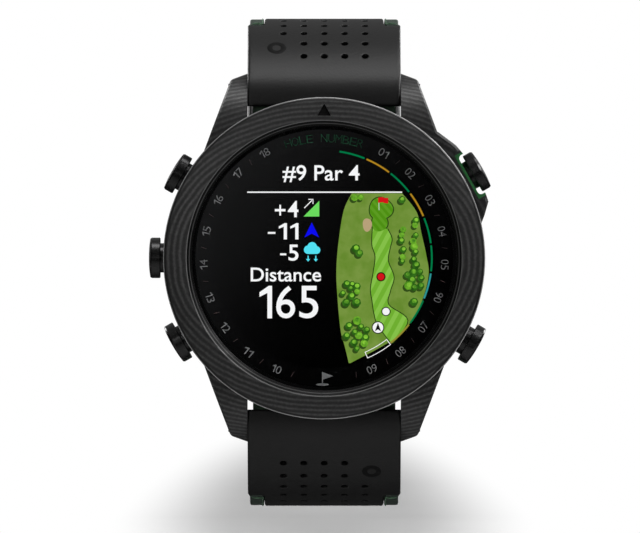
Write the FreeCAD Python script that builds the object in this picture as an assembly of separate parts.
import FreeCAD, Part
import math
import os

# A 46 mm GPS sports watch with five push buttons and a two-piece quick-release strap.
#
# Every part is modelled in watch coordinates, in millimetres: x to 3 o'clock, y to 12 o'clock,
# z out of the dial, with z = 0 on the flat rear window that rests on the wrist. write() then
# stands the watch up, so that in the finished files 12 o'clock is +Z and the dial faces -Y.
# Clock angles are in degrees, clockwise from 12 o'clock, seen from the front.

Vector = FreeCAD.Vector
ORIGIN = Vector(0, 0, 0)
X_AXIS = Vector(1, 0, 0)
Y_AXIS = Vector(0, 1, 0)
Z_AXIS = Vector(0, 0, 1)

# ---------------------------------------------------------------- driving dimensions
bezel_radius = 23.0
bezel_base = 10.8           # height of the joint between case and bezel
bezel_rim = 13.95           # top of the bezel's outer edge
bezel_crest = 14.6          # highest line of the watch, at the bezel's inner edge
crest_radius = 19.8
lens_radius = 18.85
lens_seat = 12.45           # underside of the lens
lens_edge_top = 13.92
lens_crown = 14.2
active_radius = 15.8        # inner edge of the printed index ring
ring_base = 12.15
ring_top = 12.35
panel_base = 11.3
panel_top = 12.1

case_radius = 21.8
case_floor = 2.3            # where the rear cover meets the case
cavity_radius = 17.6
bore_radius = 17.9          # bore of the bezel, around the display module
spigot_radius = 18.9
spigot_base = 10.0

lug_gap = 22.0              # strap size: the distance between the lugs
gap_wall_radius = 19.7      # the case wall behind the strap ends
lug_tip = 26.4              # half of the lug-to-lug length
bar_reach = 23.7            # lug bar, from the watch's centre
bar_height = 4.9
bar_radius = 0.9
running_gap = 0.05          # radial clearance of every pivot

cover_radius = 19.5
cover_face = 0.9
window_radius = 11.0
screw_circle = 17.55
screw_clocks = (45.0, 135.0, 225.0, 315.0)

button_height = 6.9
button_travel = 0.5
# clock angle, and the distance from the watch's axis to the inner face of the button's head
buttons = {
    "start": (60.5, 24.4),
    "back": (120.3, 23.8),
    "down": (240.0, 23.45),
    "up": (270.0, 23.45),
    "light": (300.0, 23.45),
}
head_radius = 2.9
head_length = 1.65
neck_radius = 2.1
neck_foot = 20.6            # inner end of the neck, where the spring pushes
stem_radius = 0.8
stem_tip = 16.75
sleeve_radius = 2.95
sleeve_foot = 17.4
sleeve_floor = 18.6         # where the sleeve widens
spring_seat = 19.0          # floor of its bore
sleeve_mouth = 22.1
clip_thickness = 0.3

guard_radius = 24.85
guard_low = 3.3
guard_high = 10.45
guard_slot = 6.4            # the saddle that the start button sits in
guard_floor = 23.75
liner_thickness = 0.65

strap_width = 21.7
strap_end_width = 20.0
leather = 1.2               # top layer
strap_thickness = 3.1       # top layer and lining together
strap_start = 21.7          # near end of the strap, from the watch's centre
strap_crest = (22.0, 8.6)   # where the strap's surface is level: y and z
strap_bend_start = 26.25    # y where the tight first bend runs into the main bend
strap_side_angle = 95.0     # angle of the surface where the main bend runs into the tail
flex_offset = 8.0           # the flex line, along the tail
flex_gap = 1.0

connector_tilt = 44.0       # the latch slides along the strap's local direction
connector_half = 10.2
hook_radius = 1.8
latch_half = 7.4

buckle_bar_radius = 0.8
buckle_reach = 1.6          # buckle bar, beyond the end of the strap
buckle_bar_half = 11.7
strap_middle = strap_thickness / 2
tongue_half = 1.3
slot_half = 1.9             # cut in the strap's end for the tongue
frame_half = 12.5
frame_heel = -2.1           # side ends of the frame, behind the buckle bar
frame_reach = 17.0
frame_inner = 10.4
frame_window = 14.2
frame_thick = 1.3           # half of the frame's thickness
frame_groove = 0.5          # rest for the tongue's point

hole_pitch = 5.86
hole_count = 8
hole_radius = 1.1
first_hole = 21.0           # from the tip
tip_corner = 8.0

keeper_length = 4.6
keeper_wall = 1.0
keeper_room = 3.6           # space above the strap for the other half's tip
fixed_keeper_place = 3.0    # from the buckle end of the strap
loose_keeper_place = 13.8

board_radius = 15.9
board_base = 8.3
board_top = 9.1
motor_x = 11.4
vent_y = 14.3               # pressure sensor and its vents
socket_y = -14.3            # charging socket
contact_places = (-1.5, -0.5, 0.5, 1.5)
spring_phase = 20.0         # where the spring's wire starts, around its own axis


# ---------------------------------------------------------------- shape helpers
def polar(clock, radius, height=0.0):
    angle = math.radians(clock)
    return Vector(radius * math.sin(angle), radius * math.cos(angle), height)


def polygon(points):
    return Part.Face(Part.makePolygon(points + [points[0]]))


def in_section(profile):
    """(radius, z) points, as vectors in the half plane that a turned part is drawn in."""
    return [Vector(r, 0, z) for r, z in profile]


def lines_through(points):
    return [Part.makeLine(a, b) for a, b in zip(points, points[1:])]


def turned(profile):
    """Solid of revolution about the watch's axis from (radius, z) points."""
    return polygon(in_section(profile)).revolve(ORIGIN, Z_AXIS, 360)


def slab(outline, half_width):
    """Side outline of (y, z) points, as wide as twice half_width."""
    face = polygon([Vector(-half_width, y, z) for y, z in outline])
    return face.extrude(Vector(2 * half_width, 0, 0))


def block(x, y, z):
    return Part.makeBox(x[1] - x[0], y[1] - y[0], z[1] - z[0], Vector(x[0], y[0], z[0]))


def rod(radius, low, high, x=0.0, y=0.0):
    return Part.makeCylinder(radius, high - low, Vector(x, y, low))


def tube(outer, inner, low, high, x=0.0, y=0.0):
    return rod(outer, low, high, x, y).cut(rod(inner, low, high, x, y))


def cross_rod(radius, half_width, y, z):
    """Cylinder along x, centred on the watch's middle plane."""
    return Part.makeCylinder(radius, 2 * half_width, Vector(-half_width, y, z), X_AXIS)


def edges_along(shape, direction):
    """Straight edges of a shape that run along a direction."""
    chosen = []
    for edge in shape.Edges:
        if not isinstance(edge.Curve, Part.Line):
            continue
        if abs(edge.tangentAt(edge.FirstParameter).dot(direction)) > 0.999:
            chosen.append(edge)
    return chosen


def rounded_block(x, y, z, corner):
    solid = block(x, y, z)
    return solid.makeFillet(corner, edges_along(solid, Z_AXIS))


def socket(across, low, high, x=0.0, y=0.0):
    """Hexagonal drive recess."""
    reach = across / math.sqrt(3)
    points = [polar(60 * i, reach, low) + Vector(x, y, 0) for i in range(6)]
    return polygon(points).extrude(Vector(0, 0, high - low))


def at_button(shape, clock):
    """Place a shape modelled along +Z, where z is the distance from the watch's axis."""
    radial = polar(clock, 1.0)
    sideways = Z_AXIS.cross(radial)
    matrix = FreeCAD.Matrix(
        sideways.x, 0, radial.x, 0,
        sideways.y, 0, radial.y, 0,
        0, 1, 0, button_height,
        0, 0, 0, 1)
    placed = shape.copy()
    placed.Placement = FreeCAD.Placement(matrix).multiply(placed.Placement)
    return placed


def fused(first, *others):
    return first.fuse(list(others)).removeSplitter()


def lower_half(shape):
    """Mirror a shape from the 12 o'clock side to the 6 o'clock side."""
    return shape.mirror(ORIGIN, Y_AXIS)


def write(node, *solids):
    """Stand the watch up and write one node; a node of several solids is a compound."""
    shape = solids[0].copy() if len(solids) == 1 else Part.makeCompound(list(solids))
    shape.rotate(ORIGIN, X_AXIS, 90)
    if not shape.isValid() or not shape.Solids:
        raise ValueError("bad solid in " + node)
    shape.exportStep(os.path.join("parts", node + ".step"))


# ---------------------------------------------------------------- case
def lug_side():
    """Side face of a lug: level under the bezel, then one tangent arc down to the tip."""
    level, arc_start = 10.35, 18.0
    end = Vector(0, lug_tip + 0.15, 3.5)
    reach, drop = end.y - arc_start, level - end.z
    radius = (reach ** 2 + drop ** 2) / (2 * drop)
    half_turn = math.atan2(reach, radius - drop) / 2
    middle = Vector(0, arc_start + radius * math.sin(half_turn),
                    level - radius + radius * math.cos(half_turn))
    top = Part.Arc(Vector(0, arc_start, level), middle, end)
    underside = [(end.y, end.z), (26.1, 1.9), (24.8, 0.9), (22.5, 0.75), (16.0, case_floor)]
    corners = underside + [(10.0, case_floor), (10.0, level), (arc_start, level)]
    points = [Vector(0, y, z) for y, z in corners]
    return Part.Face(Part.Wire([top.toShape()] + lines_through(points)))


def lug_rim(lug, outer):
    """Edges of a lug's top: those of its outer side, or those of its strap side."""
    chosen = []
    for edge in lug.Edges:
        middle = edge.CenterOfMass
        direction = edge.tangentAt(edge.FirstParameter)
        on_top = middle.z > 4.0 and middle.y > 10.5 and abs(direction.x) < 0.7
        upright = isinstance(edge.Curve, Part.Line) and abs(direction.z) > 0.9
        on_side = middle.x > 11.1 if outer else middle.x < 11.01
        if on_top and on_side and not upright and middle.x + 0.6 * middle.y > 17.6:
            chosen.append(edge)
    return chosen


def lug_pair():
    """Both lugs at 12 o'clock, from a plan outline and a side outline."""
    inner = lug_gap / 2
    outline = [(inner, 10.0), (inner, lug_tip), (13.4, 25.5), (17.2, 15.3), (15.0, 10.0)]
    plan = polygon([Vector(x, y, 0) for x, y in outline]).extrude(Vector(0, 0, 12))
    tip_edge = [e for e in edges_along(plan, Z_AXIS) if abs(e.Vertexes[0].X - 13.4) < 0.01]
    plan = plan.makeFillet(0.9, tip_edge)
    lug = plan.common(lug_side().extrude(Vector(20, 0, 0))).Solids[0]
    lug = lug.makeChamfer(0.3, lug_rim(lug, outer=True))
    return [lug, lug.mirror(ORIGIN, X_AXIS)]


def guard_outline():
    """Plan face of the guard around the start button, without its saddle."""
    inside_low = polar(80.0, 20.0)
    heel = polar(40.0, 20.0)
    root = polar(42.0, 24.3)
    shoulder = polar(49.4, guard_radius - 0.05)
    far_tip = polar(71.0, guard_radius)
    middle = polar(60.0, guard_radius + 0.03)
    ramp = polar(75.0, 23.75)
    foot = polar(80.5, 22.3)
    edges = [
        Part.makeLine(heel, root),
        Part.makeLine(root, shoulder),
        Part.Arc(shoulder, middle, far_tip).toShape(),
        Part.makeLine(far_tip, ramp),
        Part.makeLine(ramp, foot),
        Part.makeLine(foot, inside_low),
        Part.makeLine(inside_low, heel),
    ]
    return Part.Face(Part.Wire(edges))


def saddle(widening, height):
    """The rounded slot across the guard; widening grows it into the liner's outer shape."""
    half = guard_slot / 2 + widening
    solid = block((-half, half), (-height, height), (guard_floor - widening, 30.0))
    corners = [e for e in edges_along(solid, Y_AXIS) if e.CenterOfMass.z < guard_floor + 0.01]
    return at_button(solid.makeFillet(0.6 + widening / 2, corners), buttons["start"][0])


def guard_block():
    solid = guard_outline().extrude(Vector(0, 0, guard_high - guard_low))
    solid.translate(Vector(0, 0, guard_low))
    rims = [e for e in solid.Edges if abs(e.CenterOfMass.z - guard_high) < 0.01
            and math.hypot(e.CenterOfMass.x, e.CenterOfMass.y) > 22.9]
    rims += [e for e in solid.Edges if abs(e.CenterOfMass.z - guard_low) < 0.01
             and math.hypot(e.CenterOfMass.x, e.CenterOfMass.y) > 22.9]
    return solid.makeChamfer(0.35, rims)


def strap_gap():
    """Space between the lugs, outside a round wall."""
    half = lug_gap / 2
    near = math.sqrt(gap_wall_radius ** 2 - half ** 2)
    edges = [
        Part.makeLine(Vector(-half, 40, 0), Vector(half, 40, 0)),
        Part.makeLine(Vector(half, 40, 0), Vector(half, near, 0)),
        Part.Arc(Vector(half, near, 0), Vector(0, gap_wall_radius, 0), Vector(-half, near, 0)).toShape(),
        Part.makeLine(Vector(-half, near, 0), Vector(-half, 40, 0)),
    ]
    return Part.Face(Part.Wire(edges)).extrude(Vector(0, 0, bezel_base + 1))


def case_body():
    wall = turned([
        (15.0, case_floor), (20.3, case_floor), (21.2, 3.4), (case_radius, 5.0),
        (case_radius, bezel_base), (15.0, bezel_base)])
    upper = lug_pair()
    lower = [lower_half(lug) for lug in upper]
    body = fused(wall, guard_block(), *upper, *lower)

    strap_room = strap_gap()
    body = body.cut([strap_room, lower_half(strap_room), rod(cavity_radius, 0, 20)])

    posts = [rod(1.5, case_floor, board_base - 0.1, *polar(clock, screw_circle)[:2]) for clock in screw_clocks]
    body = fused(body, *[post.common(rod(cavity_radius + 1.0, 0, 20)) for post in posts])

    cuts = [rod(spigot_radius + 0.02, spigot_base, 20)]
    cuts.append(rod(19.4, bezel_base - 0.35, 20))
    cuts += [rod(0.7, 0, 6.0, *polar(clock, screw_circle)[:2]) for clock in screw_clocks]
    cuts.append(turned([(18.65, 0), (19.25, 0), (19.25, case_floor + 0.35), (18.65, case_floor + 0.35)]))
    cuts.append(saddle(liner_thickness, 20.0))
    for clock, _ in buttons.values():
        cuts.append(at_button(rod(1.9, 15.0, 26.0), clock))
        cuts.append(at_button(rod(sleeve_radius, sleeve_floor, sleeve_mouth), clock))
        cuts.append(at_button(rod(neck_radius + 0.1, sleeve_mouth - 0.2, 26.0), clock))
    cuts += [bar_bore(), lower_half(bar_bore())]
    return body.cut(cuts)


def bar_bore():
    """Hole for a lug bar, with the screw heads' counterbores at both ends."""
    bore = cross_rod(bar_radius, 12.4, bar_reach, bar_height)
    neck = cross_rod(0.65, 20, bar_reach, bar_height)
    head = cross_rod(1.3, 20, bar_reach, bar_height)
    middle = cross_rod(2.0, 12.9, bar_reach, bar_height)
    return fused(bore, neck, head.cut(middle))


def guard_liner():
    clock = buttons["start"][0]
    outline = guard_outline().extrude(Vector(0, 0, guard_high - guard_low - 0.5))
    outline.translate(Vector(0, 0, guard_low + 0.25))
    cup = saddle(liner_thickness, 20.0).cut(saddle(0.0, 21.0))
    passage = at_button(rod(neck_radius + 0.1, 15.0, 26.0), clock)
    return cup.common(outline).cut(passage)


def lug_bar(sign):
    bar = cross_rod(bar_radius, 12.4, sign * bar_reach, bar_height)
    threads = [Part.makeCylinder(0.6, 3.0, Vector(side * 12.4, sign * bar_reach, bar_height), X_AXIS * -side)
               for side in (-1, 1)]
    return bar.cut(threads)


def lug_screw(side, sign):
    """Screw along x; modelled along +Z and turned into place."""
    head = rod(1.25, 12.9, 13.75)
    shank = rod(0.6, 9.5, 12.9)
    screw = fused(head, shank).cut(socket(1.3, 13.3, 14.0))
    screw.rotate(ORIGIN, Y_AXIS, 90 * side)
    screw.translate(Vector(0, sign * bar_reach, bar_height))
    return screw


# ---------------------------------------------------------------- bezel, lens and display
def bezel():
    ledge_radius = 18.45        # the lens rests on this ledge
    outer = in_section([
        (bore_radius, spigot_base), (spigot_radius, spigot_base), (spigot_radius, bezel_base),
        (22.4, bezel_base), (bezel_radius, 11.4), (bezel_radius, bezel_rim - 0.22),
        (bezel_radius - 0.25, bezel_rim)])
    inner = in_section([
        (crest_radius, bezel_crest), (spigot_radius, bezel_rim), (spigot_radius, lens_seat),
        (ledge_radius, lens_seat), (ledge_radius, ring_base), (bore_radius, ring_base),
        (bore_radius, spigot_base)])
    crown = Part.Arc(outer[-1], Vector(21.3, 0, 14.36), inner[0])
    edges = lines_through(outer) + [crown.toShape()] + lines_through(inner)
    ring = Part.Face(Part.Wire(edges)).revolve(ORIGIN, Z_AXIS, 360)
    return ring.cut(north_marker())


def north_marker():
    """Shallow triangular recess at 12 o'clock, its floor parallel to the sloping bezel."""
    base, apex, half = 20.3, 22.1, 1.0
    slope = math.degrees(math.atan2(bezel_crest - bezel_rim, bezel_radius - 0.25 - crest_radius))
    corners = [Vector(-half, base, 0), Vector(half, base, 0), Vector(0, apex, 0)]
    marker = polygon(corners).extrude(Vector(0, 0, 2))
    marker.rotate(Vector(0, base, 0), X_AXIS, -slope)
    marker.translate(Vector(0, 0, bezel_crest - 0.3))
    return marker


def lens():
    """Disc with a bevelled edge and a shallow spherical dome."""
    shoulder = lens_radius - 0.15
    rise = lens_crown - lens_edge_top
    dome_radius = (shoulder ** 2 + rise ** 2) / (2 * rise)
    blank = turned([(0, lens_seat), (lens_radius, lens_seat), (lens_radius, lens_edge_top - 0.12),
                    (shoulder, lens_edge_top), (shoulder, lens_crown + 1), (0, lens_crown + 1)])
    dome = Part.makeSphere(dome_radius, Vector(0, 0, lens_crown - dome_radius), X_AXIS)
    return blank.common(dome)


def display_holder():
    tray = turned([(0, 10.25), (17.8, 10.25), (17.8, panel_top), (17.0, panel_top),
                   (17.0, panel_base - 0.05), (0, panel_base - 0.05)])
    bosses = [rod(1.0, board_top, 10.5, *polar(clock, 13.4)[:2]) for clock in screw_clocks]
    tray = fused(tray, *bosses)
    ribbon_slot = block((-4.5, 4.5), (-13.4, -12.2), (10, 12))
    return tray.cut([ribbon_slot, rod(4.0, 10, 10.85)])


def antenna_ring():
    ring = tube(17.4, 16.5, 9.2, 10.2)
    return ring.cut(block((-1.2, 1.2), (-20, 0), (9, 11)))


# ---------------------------------------------------------------- electronics
def main_board():
    disc = rod(board_radius, board_base, board_top)
    flats = [block((-20, 20), (15.2, 20), (8, 10)), block((-20, 20), (-20, -15.2), (8, 10))]
    return disc.cut(flats)


def shield_cans():
    sizes = [((-12.0, -2.2), (-4.5, 5.0)), ((-0.8, 10.5), (-6.8, 1.0)), ((0.0, 7.0), (3.0, 10.5))]
    return [rounded_block(x, y, (board_top, 10.1), 0.5) for x, y in sizes]


def battery():
    cell = rounded_block((-10.8, 6.9), (-11.6, 11.6), (3.4, 7.9), 1.5)
    tab = block((-3.0, 0.5), (11.6, 13.2), (6.4, 7.9))
    return fused(cell, tab)


def motor_housing():
    cup = rod(4.0, 3.0, 5.8, motor_x).cut(rod(3.7, 2.9, 5.5, motor_x))
    return fused(cup, rod(0.4, 3.1, 5.6, motor_x))


def motor_weight():
    """Half disc on a hub, so that it shakes as it spins."""
    half_disc = rod(3.4, 3.3, 5.2, motor_x).cut(block((motor_x - 5, motor_x + 5), (0, 5), (3, 6)))
    hub = rod(0.9, 3.3, 5.2, motor_x)
    return fused(half_disc, hub).cut(rod(0.4 + running_gap, 3, 6, motor_x))


def pressure_sensor():
    can = rod(1.9, case_floor, 3.3, 0, vent_y)
    return fused(can, rod(1.2, 3.3, 3.7, 0, vent_y))


def switch(clock):
    body = block((-1.6, 1.6), (-1.3, 1.3), (14.4, 15.9))
    return at_button(fused(body, rod(0.6, 15.9, stem_tip - button_travel - 0.05)), clock)


def arc_band(low_clock, high_clock, outer, inner, low, high):
    """Piece of a ring between two clock angles less than 180 degrees apart."""
    middle = (low_clock + high_clock) / 2
    wire = Part.Wire([
        Part.Arc(polar(low_clock, outer), polar(middle, outer), polar(high_clock, outer)).toShape(),
        Part.makeLine(polar(high_clock, outer), polar(high_clock, inner)),
        Part.Arc(polar(high_clock, inner), polar(middle, inner), polar(low_clock, inner)).toShape(),
        Part.makeLine(polar(low_clock, inner), polar(low_clock, outer)),
    ])
    band = Part.Face(wire).extrude(Vector(0, 0, high - low))
    band.translate(Vector(0, 0, low))
    return band


def ribbon_cables():
    """Two button ribbons along the case wall, one to the display and one to the sensor board."""
    right = arc_band(54.0, 127.0, 14.4, 14.2, 6.3, board_base)
    left = arc_band(233.0, 307.0, 14.4, 14.2, 6.3, board_base)
    display = block((-3.5, 3.5), (-12.9, -12.7), (board_top, 11.3))
    sensor = block((7.6, 7.8), (-9.0, -5.0), (3.0, board_base))
    return [right, left, display, sensor]


# ---------------------------------------------------------------- rear cover
def charge_slot(half_length, radius, low, high):
    """Round-ended slot, long in x, on the charging socket's place."""
    reach = half_length - radius
    ends = [rod(radius, low, high, side * reach, socket_y) for side in (-1, 1)]
    return fused(block((-reach, reach), (socket_y - radius, socket_y + radius), (low, high)), *ends)


def rear_cover():
    plate = turned([
        (10.3, 1.3), (window_radius + 0.05, 1.3), (window_radius + 0.05, 0.35), (11.6, 0.3),
        (13.6, cover_face), (18.8, cover_face), (cover_radius, 1.55), (cover_radius, case_floor),
        (10.3, case_floor)])
    cuts = []
    for clock in screw_clocks:
        x, y = polar(clock, screw_circle)[:2]
        cuts.append(rod(0.75, 0, 3, x, y))
        cuts.append(rod(1.3, 0, 1.7, x, y))
    cuts += [rod(0.35, 0, 3, x, vent_y) for x in (-1.1, 0.0, 1.1)]
    cuts.append(charge_slot(3.3, 1.6, 0, 3))
    return plate.cut(cuts)


def rear_screw(clock):
    x, y = polar(clock, screw_circle)[:2]
    head = rod(1.25, cover_face + 0.05, 1.7, x, y)
    shank = rod(0.7, 1.7, 5.8, x, y)
    return fused(head, shank).cut(socket(1.3, 0.5, 1.4, x, y))


def sensor_window():
    return turned([
        (0, 0), (9.6, 0), (10.6, 0.12), (window_radius, 0.45), (window_radius, 1.3),
        (10.0, 1.3), (10.0, 1.0), (0, 1.0)])


def sensor_board():
    """Disc with its light sources in the middle and eight light detectors around them."""
    disc = rod(10.2, 2.35, 3.0)
    emitters = [block((x - 0.8, x + 0.8), (-0.8, 0.8), (1.5, 2.4)) for x in (-1.8, 1.8)]
    detectors = []
    for i in range(8):
        chip = block((-1.1, 1.1), (5.6, 7.4), (1.6, 2.4))
        chip.rotate(ORIGIN, Z_AXIS, 45 * i + 22.5)
        detectors.append(chip)
    return fused(disc, *emitters, *detectors)


def charge_socket():
    plug = charge_slot(3.3, 1.6, cover_face + 0.1, case_floor)
    flange = charge_slot(4.0, 2.2, case_floor, 3.0)
    recess = charge_slot(2.7, 1.0, 0, 2.1)
    pins = [rod(0.3, 0, 4, x, socket_y) for x in contact_places]
    return fused(plug, flange).cut([recess] + pins)


# ---------------------------------------------------------------- buttons
def button_cap(head_base):
    """Head, neck and stem in one piece, modelled along +Z."""
    top = head_base + head_length
    corners = [
        (2.75, top - 0.2), (head_radius, top - 0.42), (head_radius, head_base + 0.1),
        (head_radius - 0.1, head_base), (neck_radius, head_base), (neck_radius, neck_foot),
        (stem_radius, neck_foot), (stem_radius, sleeve_foot - 0.04), (0.55, sleeve_foot - 0.04),
        (0.55, sleeve_foot - 0.36), (stem_radius, sleeve_foot - 0.36), (stem_radius, stem_tip),
        (0, stem_tip), (0, top)]
    points = in_section(corners)
    dome = Part.Arc(points[-1], Vector(1.6, 0, top - 0.05), points[0])
    edges = lines_through(points) + [dome.toShape()]
    return Part.Face(Part.Wire(edges)).revolve(ORIGIN, Z_AXIS, 360)


def button_clip():
    """Open spring clip in the stem's groove, which stops the button from falling out."""
    ring = tube(1.5, 0.56, sleeve_foot - 0.35, sleeve_foot - 0.05)
    return ring.cut(block((-0.45, 0.45), (0, 2), (0, 20)))


def button_spring():
    """Coil spring between the spring seat and the foot of the neck."""
    wire_radius = 0.15
    coil_radius = 1.45
    length = neck_foot - spring_seat - 2 * wire_radius - 0.04
    helix = Part.makeHelix(length / 3.2, length, coil_radius)
    helix.translate(Vector(0, 0, spring_seat + wire_radius + 0.02))
    start = helix.Edges[0].valueAt(helix.Edges[0].FirstParameter)
    section = Part.Wire(Part.makeCircle(wire_radius, start, Y_AXIS))
    spring = Part.Wire(helix.Edges).makePipeShell([section], True, True)
    spring.rotate(ORIGIN, Z_AXIS, spring_phase)
    return spring


def button_sleeve():
    outer = fused(rod(1.9, sleeve_foot, sleeve_floor), rod(sleeve_radius, sleeve_floor, sleeve_mouth))
    bore = rod(neck_radius + running_gap, spring_seat, 30)
    groove = rod(2.68, 21.0, 21.6)
    stem_hole = rod(stem_radius + running_gap, 10, 30)
    return outer.cut([bore, groove, stem_hole])


def button_seal():
    """Seal ring in the sleeve's groove."""
    return Part.makeTorus(2.4, 0.27, Vector(0, 0, 21.3))


# ---------------------------------------------------------------- strap
class StrapHalf:
    """Side path of one strap half: three arcs, each running into the next.

    The path is the strap's outer surface in the (y, z) plane. An angle names a place on it: it is
    the angle between the surface's outward normal and the z axis, and it grows along the strap.
    """

    def __init__(self, bend_centre_y, bend_radius, tail_radius, tail_length):
        level_y, level_z = strap_crest
        self.bend_angle = math.degrees(math.asin((strap_bend_start - bend_centre_y) / bend_radius))
        first_radius = (strap_bend_start - level_y) / math.sin(math.radians(self.bend_angle))
        start = math.degrees(math.asin((strap_start - level_y) / first_radius))
        first = ((level_y, level_z - first_radius), first_radius, start, self.bend_angle)
        bend = self.next_arc(first, bend_radius, strap_side_angle)
        self.end_angle = strap_side_angle + math.degrees(tail_length / tail_radius)
        tail = self.next_arc(bend, tail_radius, self.end_angle)
        self.arcs = [first, bend, tail]
        self.tail_radius = tail_radius
        self.flex_angle = strap_side_angle + self.tail_angle(flex_offset)

    @staticmethod
    def next_arc(arc, radius, end):
        """Arc of another radius that continues an arc without a kink."""
        (y, z), old_radius, _, angle = arc
        turn = math.radians(angle)
        shift = old_radius - radius
        return ((y + shift * math.sin(turn), z + shift * math.cos(turn)), radius, angle, end)

    def tail_angle(self, length):
        return math.degrees(length / self.tail_radius)

    def place(self, angle, depth=0.0, beyond=0.0):
        """Point below the surface at an angle, and further on along the strap."""
        for (y, z), radius, start, end in self.arcs:
            if angle <= end + 1e-9:
                break
        turn = math.radians(angle)
        reach = radius - depth
        return (y + reach * math.sin(turn) + beyond * math.cos(turn),
                z + reach * math.cos(turn) - beyond * math.sin(turn))

    def band(self, low, high, top, bottom, half_width):
        """Solid between two angles and two depths below the surface."""
        pieces = [(c, r, max(s, low), min(e, high)) for c, r, s, e in self.arcs if min(e, high) > max(s, low)]
        edges = []
        for centre, radius, start, end in pieces:
            edges.append(self.arc_edge(centre, radius - top, start, end, half_width))
        edges.append(self.cut_edge(high, top, bottom, half_width))
        for centre, radius, start, end in reversed(pieces):
            edges.append(self.arc_edge(centre, radius - bottom, end, start, half_width))
        edges.append(self.cut_edge(pieces[0][2], bottom, top, half_width))
        return Part.Face(Part.Wire(edges)).extrude(Vector(2 * half_width, 0, 0))

    @staticmethod
    def arc_edge(centre, radius, start, end, half_width):
        points = []
        for angle in (start, (start + end) / 2, end):
            turn = math.radians(angle)
            points.append(Vector(-half_width, centre[0] + radius * math.sin(turn),
                                 centre[1] + radius * math.cos(turn)))
        return Part.Arc(*points).toShape()

    def cut_edge(self, angle, first_depth, second_depth, half_width):
        first = self.place(angle, first_depth)
        second = self.place(angle, second_depth)
        return Part.makeLine(Vector(-half_width, *first), Vector(-half_width, *second))

    def across(self, solid, angle, depth=0.0, beyond=0.0):
        """Place a solid modelled with y along the strap and z outward at a point of the path."""
        y, z = self.place(angle, depth, beyond)
        moved = solid.copy()
        moved.rotate(ORIGIN, X_AXIS, -angle)
        moved.translate(Vector(0, y, z))
        return moved


upper_strap = StrapHalf(13.4, 21.0, 70.0, 44.0)
lower_strap = StrapHalf(12.4, 23.6, 110.0, 82.0)


def beside_bar(points):
    """(along, outward) points of the tilted connector, to (y, z)."""
    turn = math.radians(connector_tilt)
    return [(bar_reach + p * math.cos(turn) + q * math.sin(turn),
             bar_height - p * math.sin(turn) + q * math.cos(turn)) for p, q in points]


def connector_outside(half_width):
    hook = cross_rod(hook_radius, half_width, bar_reach, bar_height)
    tail = slab(beside_bar([(0, -0.95), (6.6, -0.95), (6.6, 0.5), (5.8, 1.2), (0, 1.2)]), half_width)
    nose_points = [(-3.35, -0.7), (-3.35, 1.25), (-2.85, 1.75), (0, 1.75), (0, -0.7)]
    nose = slab([(bar_reach + y, bar_height + z) for y, z in nose_points], half_width)
    return fused(hook, tail, nose)


def strap_connector():
    """Hook that hangs on the lug bar, with two rails for the latch."""
    bore = cross_rod(bar_radius + running_gap, 20, bar_reach, bar_height)
    mouth = slab(beside_bar([(-0.95, 0), (0.95, 0), (0.95, -4), (-0.95, -4)]), 20)
    body = connector_outside(connector_half).cut([bore, mouth])
    rails = slab(beside_bar([(1.1, -1.95), (6.6, -1.95), (6.6, -0.95), (1.1, -0.95)]), connector_half)
    channel = slab(beside_bar([(0, -3), (8, -3), (8, -0.95), (0, -0.95)]), latch_half + 0.1)
    return fused(body, rails).cut(channel)


def strap_latch():
    plate = slab(beside_bar([(-0.85, -1.85), (6.2, -1.85), (6.2, -1.0), (-0.85, -1.0)]), latch_half)
    ridges = [slab(beside_bar([(p, -2.4), (p + 0.6, -2.4), (p + 0.7, -1.8), (p - 0.1, -1.8)]), 4.0)
              for p in (3.2, 4.3, 5.4)]
    return fused(plate, *ridges)


def strap_near(half, top, bottom):
    """One layer from the case to the flex line."""
    end = half.flex_angle - half.tail_angle(flex_gap / 2)
    return half.band(-10.0, end, top, bottom, strap_width / 2)


def strap_far(half, top, bottom, short=0.0):
    """One layer from the flex line to the end of the strap."""
    start = half.flex_angle + half.tail_angle(flex_gap / 2)
    end = half.end_angle - half.tail_angle(short)
    return half.band(start, end, top, bottom, strap_end_width / 2)


def strap_lining(half):
    return strap_near(half, leather, strap_thickness).cut(connector_outside(20.0))


def at_buckle(solid):
    """Place a buckle piece modelled about its bar: y outward from the strap, z away from the wrist."""
    return upper_strap.across(solid, upper_strap.end_angle, strap_middle, buckle_reach)


def tongue_slot():
    return at_buckle(block((-slot_half, slot_half), (-2.4, 3.0), (-4, 4)))


def upper_lining_end():
    band = strap_far(upper_strap, leather, strap_thickness)
    loop = at_buckle(cross_rod(1.9, strap_end_width / 2, 0, 0))
    bore = at_buckle(cross_rod(buckle_bar_radius + running_gap, 20, 0, 0))
    return fused(band, loop).cut([bore, tongue_slot()])


def upper_leather_end():
    return strap_far(upper_strap, 0.0, leather, 0.6).cut(tongue_slot())


def adjustment_holes():
    peg = rod(hole_radius, -5, 5)
    places = [lower_strap.end_angle - lower_strap.tail_angle(first_hole + hole_pitch * i)
              for i in range(hole_count)]
    return [lower_strap.across(peg, angle, strap_middle) for angle in places]


def lower_end(top, bottom):
    """Layer of the long strap half's end, with its rounded tip and adjustment holes."""
    layer = strap_far(lower_strap, top, bottom)
    y, z = lower_strap.place(lower_strap.end_angle, (top + bottom) / 2)
    tip_edges = [e for e in layer.Edges
                 if math.hypot(e.CenterOfMass.y - y, e.CenterOfMass.z - z) < 0.01
                 and abs(e.CenterOfMass.x) > 5]
    return layer.makeFillet(tip_corner, tip_edges).cut(adjustment_holes())


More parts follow.
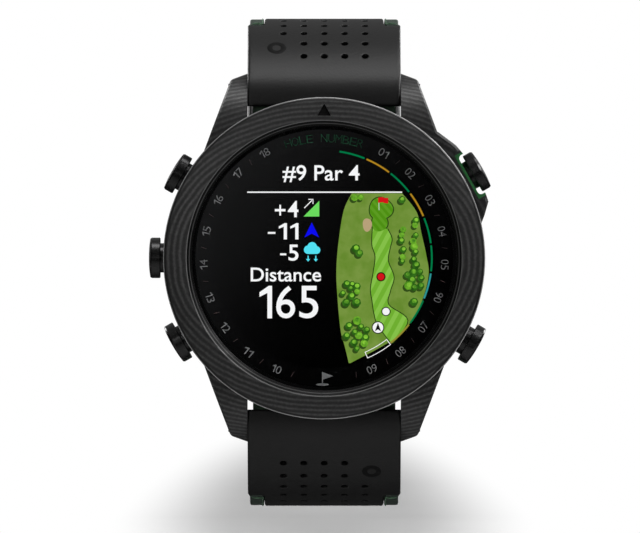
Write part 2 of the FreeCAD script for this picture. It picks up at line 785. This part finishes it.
# ---------------------------------------------------------------- keepers and buckle
def keeper(from_end, below):
    """Loop around the strap: a band of the strap's own curve, hollow inside."""
    high = upper_strap.end_angle - upper_strap.tail_angle(from_end)
    low = high - upper_strap.tail_angle(keeper_length)
    half = strap_end_width / 2 + 0.15
    under = strap_thickness + below
    outside = upper_strap.band(low, high, -keeper_room - keeper_wall, under + keeper_wall, half + keeper_wall)
    margin = upper_strap.tail_angle(1.0)
    inside = upper_strap.band(low - margin, high + margin, -keeper_room, under, half)
    loop = outside.cut(inside)
    corners = edges_near_corners(loop, half + keeper_wall)
    return loop.makeFillet(0.8, corners)


def edges_near_corners(loop, half_width):
    """The four long outer edges of a keeper, which run along the strap."""
    return [e for e in loop.Edges if isinstance(e.Curve, Part.Circle)
            and abs(abs(e.CenterOfMass.x) - half_width) < 0.01]


def buckle_frame():
    outside = block((-frame_half, frame_half), (frame_heel, frame_reach), (-frame_thick, frame_thick))
    corners = [e for e in edges_along(outside, Z_AXIS) if e.CenterOfMass.y > 0]
    outside = outside.makeFillet(3.0, corners)
    window = block((-frame_inner, frame_inner), (frame_heel - 1, frame_window), (-5, 5))
    inner_corners = [e for e in edges_along(window, Z_AXIS) if e.CenterOfMass.y > 0]
    outside = outside.cut(window.makeFillet(1.2, inner_corners))
    heels = [e for e in edges_along(outside, X_AXIS) if e.CenterOfMass.y < frame_heel + 0.01]
    outside = outside.makeFillet(1.25, heels)
    rims = [e for e in outside.Edges if abs(abs(e.CenterOfMass.z) - frame_thick) < 0.01
            and (abs(e.CenterOfMass.x) > frame_half - 1.5 or e.CenterOfMass.y > frame_reach - 0.5)]
    outside = outside.makeFillet(0.5, rims)
    groove = block((-1.6, 1.6), (frame_window - 1, frame_reach + 1), (frame_thick - frame_groove, 5))
    bore = cross_rod(buckle_bar_radius, buckle_bar_half, 0, 0)
    return at_buckle(outside.cut([groove, bore]))


def buckle_bar():
    return at_buckle(cross_rod(buckle_bar_radius, buckle_bar_half, 0, 0))


def buckle_tongue():
    eye = cross_rod(1.7, tongue_half, 0, 0)
    rest = frame_thick - frame_groove + 0.03
    shank = slab([(0.5, -0.75), (13.6, rest), (16.4, rest), (17.0, rest + 0.35), (16.7, rest + 1.0),
                  (13.6, rest + 1.35), (0.9, 1.25)], tongue_half)
    bore = cross_rod(buckle_bar_radius + running_gap, 5, 0, 0)
    tongue = fused(eye, shank).cut(bore)
    return at_buckle(tongue)


# ---------------------------------------------------------------- all nodes
def write_case():
    write("case_body", case_body())
    write("guard_liner", guard_liner())
    write("lug_bars", lug_bar(1), lug_bar(-1))
    write("lug_screws", *[lug_screw(side, sign) for side in (-1, 1) for sign in (-1, 1)])
    write("bezel", bezel())
    write("bezel_gasket", tube(19.4, spigot_radius, bezel_base - 0.35, bezel_base))
    write("lens", lens())
    write("index_ring", tube(18.4, active_radius, ring_base, ring_top))
    write("display_panel", rod(16.9, panel_base, panel_top))
    write("display_holder", display_holder())
    write("antenna_ring", antenna_ring())


def write_electronics():
    write("main_board", main_board())
    write("shield_cans", *shield_cans())
    write("battery", battery())
    write("motor_housing", motor_housing())
    write("motor_weight", motor_weight())
    write("pressure_sensor", pressure_sensor())
    write("button_switches", *[switch(clock) for clock, _ in buttons.values()])
    write("ribbon_cables", *ribbon_cables())


def write_rear():
    write("rear_cover", rear_cover())
    write("rear_gasket", tube(19.25, 18.65, case_floor, case_floor + 0.35))
    write("rear_screws", *[rear_screw(clock) for clock in screw_clocks])
    write("sensor_window", sensor_window())
    write("sensor_board", sensor_board())
    write("charge_socket", charge_socket())
    write("charge_contacts", *[rod(0.3, 1.5, 3.4, x, socket_y) for x in contact_places])


def write_buttons():
    clocks = [clock for clock, _ in buttons.values()]
    write("button_sleeves", *[at_button(button_sleeve(), clock) for clock in clocks])
    write("button_seals", *[at_button(button_seal(), clock) for clock in clocks])
    for name, (clock, head_base) in buttons.items():
        write(name + "_button", at_button(button_cap(head_base), clock))
        write(name + "_button_clip", at_button(button_clip(), clock))
        write(name + "_button_spring", at_button(button_spring(), clock))


def write_straps():
    write("upper_connector", strap_connector())
    write("upper_latch", strap_latch())
    write("upper_strap_leather", strap_near(upper_strap, 0.0, leather))
    write("upper_strap_lining", strap_lining(upper_strap))
    write("upper_strap_leather_end", upper_leather_end())
    write("upper_strap_lining_end", upper_lining_end())
    write("lower_connector", lower_half(strap_connector()))
    write("lower_latch", lower_half(strap_latch()))
    write("lower_strap_leather", lower_half(strap_near(lower_strap, 0.0, leather)))
    write("lower_strap_lining", lower_half(strap_lining(lower_strap)))
    write("lower_strap_leather_end", lower_half(lower_end(0.0, leather)))
    write("lower_strap_lining_end", lower_half(lower_end(leather, strap_thickness)))
    write("fixed_keeper", keeper(fixed_keeper_place, 0.0))
    write("loose_keeper", keeper(loose_keeper_place, 0.1))
    write("buckle_frame", buckle_frame())
    write("buckle_bar", buckle_bar())
    write("buckle_tongue", buckle_tongue())


os.makedirs("parts", exist_ok=True)
write_case()
write_electronics()
write_rear()
write_buttons()
write_straps()
